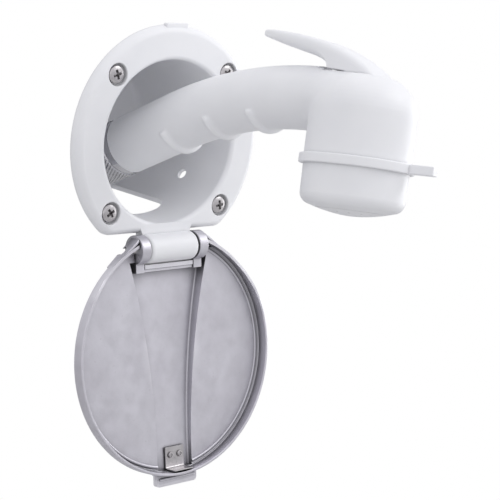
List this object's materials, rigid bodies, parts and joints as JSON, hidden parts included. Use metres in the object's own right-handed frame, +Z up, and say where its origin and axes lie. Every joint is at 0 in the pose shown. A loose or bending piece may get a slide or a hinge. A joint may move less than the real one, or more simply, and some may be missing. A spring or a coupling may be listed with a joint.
{
  "type": "recessed transom shower",
  "caption": "Recessed wall cup with a round hinged metal lid, holding an elbow hand sprayer with a top trigger lever and a hose coupling.",
  "frame": {"origin": "on the cup's axis, in the plane of the hull or wall face that the flange seats on", "axes": "+Z up, +Y into the hull along the cup's axis, -Y out towards the user, +X to the right seen from the front"},
  "size_m": [0.1338, 0.2597, 0.2566],
  "materials": {
    "white_plastic": "satin-gloss moulded white",
    "black_rubber": "matt",
    "stainless_steel": "brushed",
    "cast_metal": "satin cast",
    "brass": "turned",
    "chrome": "bright plated"
  },
  "bodies": {
    "housing": {"housing": "white_plastic", "flange_gasket": "black_rubber", "screw_top_left": "stainless_steel", "screw_top_right": "stainless_steel", "screw_bottom_left": "stainless_steel", "screw_bottom_right": "stainless_steel", "hinge_pin": "stainless_steel"},
    "lid": {"lid": "cast_metal", "latch_spring": "stainless_steel", "latch_rivet_left": "stainless_steel", "latch_rivet_right": "stainless_steel"},
    "sprayer": {"sprayer_body": "white_plastic", "nose_cap": "white_plastic", "spray_face": "white_plastic", "nose_seal": "black_rubber", "valve_seat": "brass", "return_spring": "stainless_steel", "lever_pivot_pin": "stainless_steel", "inlet_spigot": "chrome", "retaining_ring": "stainless_steel"},
    "lever": {"trigger_lever": "white_plastic"},
    "plunger": {"valve_plunger": "brass", "valve_washer": "black_rubber"},
    "nut": {"coupling_nut": "chrome", "hose_washer": "black_rubber"}
  },
  "joints": [
    {"name": "lid_hinge", "type": "hinge", "parent": "housing", "child": "lid", "pos_m": [0, -0.0093, -0.05775], "axis": [-1, 0, 0], "range_deg": [0, 172.2]},
    {"name": "sprayer_pull", "type": "slide", "parent": "housing", "child": "sprayer", "axis": [0.0734, -0.9063, 0.4162], "range_m": [0, 0.301]},
    {"name": "lever_pivot", "type": "hinge", "parent": "sprayer", "child": "lever", "pos_m": [0.00851, -0.149, 0.04826], "axis": [-0.9848, 0, 0.1736], "range_deg": [0, 5.5], "stiffness_Nm_per_rad": 0.6, "springref_deg": -4.58},
    {"name": "valve_slide", "type": "slide", "parent": "sprayer", "child": "plunger", "axis": [-0.1729, -0.0924, -0.9806], "range_m": [0, 0.0018], "deforming": ["return_spring"]},
    {"name": "coupling_swivel", "type": "hinge", "parent": "sprayer", "child": "nut", "pos_m": [-0.00103, 0.0273, -0.00584], "axis": [-0.0734, 0.9063, -0.4162], "continuous": true}
  ],
  "couplings": [
    {"joint": "sprayer_pull", "follows": "lid_hinge", "m_per_rad": 0.1},
    {"joint": "valve_slide", "follows": "lever_pivot", "m_per_rad": 0.018}
  ]
}
